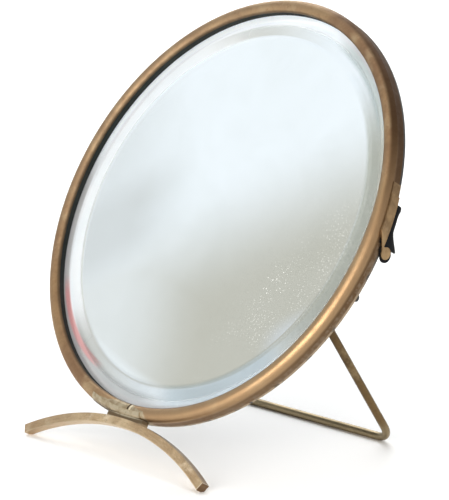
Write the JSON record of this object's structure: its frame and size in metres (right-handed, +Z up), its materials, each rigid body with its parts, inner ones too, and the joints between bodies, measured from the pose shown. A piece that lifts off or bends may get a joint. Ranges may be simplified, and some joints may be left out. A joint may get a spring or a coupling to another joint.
{
  "type": "tabletop hand mirror",
  "caption": "Round bevelled mirror in a brass hoop on a curved bar foot, with a folding wire stand and a hand strap behind.",
  "frame": {"origin": "middle of the object's bounding box at the level of the surface it stands on", "axes": "+Z up; the glass faces -Y and leans back; +X is to the right for someone looking into the glass"},
  "size_m": [0.2412, 0.1378, 0.2282],
  "materials": {
    "hoop_brass": "satin, aged",
    "foot_brass": "scratched, aged",
    "stand_brass": "dark patina",
    "back_brass": "dull, aged",
    "keeper_brass": "pale, rubbed",
    "solder": "dull tin solder over brass",
    "packing": "black felt packing",
    "glass": "polished, faint green edge",
    "silver": "silvered, light age specks",
    "card": "plain",
    "black_paint": "black japan, worn",
    "strap_leather": "black, creased"
  },
  "bodies": {
    "mirror": {"rim_hoop": "hoop_brass", "foot_solder": "solder", "front_foot": "foot_brass", "edge_packing": "packing", "mirror_glass": "glass", "silvering": "silver", "backing_card": "card", "back_plate": "black_paint", "plate_tacks": "solder", "bracket_left": "back_brass", "bracket_right": "back_brass", "bracket_rivets": "back_brass", "hinge_rod": "back_brass", "rod_collars": "back_brass", "stop_pads": "back_brass", "keeper_left": "keeper_brass", "keeper_right": "keeper_brass", "hand_strap": "strap_leather"},
    "stand": {"stand_bail": "stand_brass"}
  },
  "joints": [
    {"name": "stand_fold", "type": "hinge", "parent": "mirror", "child": "stand", "pos_m": [0, 0.00046, 0.09277], "axis": [1, 0, 0], "range_deg": [-66, 0]}
  ]
}
